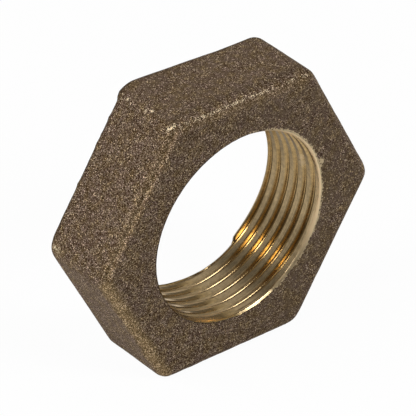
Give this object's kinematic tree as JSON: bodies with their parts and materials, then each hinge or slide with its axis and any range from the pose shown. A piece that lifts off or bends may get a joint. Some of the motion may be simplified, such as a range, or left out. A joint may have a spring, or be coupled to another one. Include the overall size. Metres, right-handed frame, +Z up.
{
  "type": "handwheel nut",
  "caption": "Flat cast bronze hexagon nut with rounded corners and a large right-hand threaded through bore, screwed on a valve's spindle sleeve to hold the handwheel.",
  "frame": {"origin": "on the thread axis, halfway between the front face and the seat face", "axes": "+Y along the thread axis, from the front face to the seat face; +Z up, with the nut standing on one flat; +X to the right as seen from the front, through two corners"},
  "size_m": [0.0518, 0.013, 0.046],
  "materials": {
    "cast_bronze": "sand-cast skin, dark brown, with bright machined thread"
  },
  "bodies": {
    "root": {"handwheel_nut": "cast_bronze"}
  },
  "joints": []
}
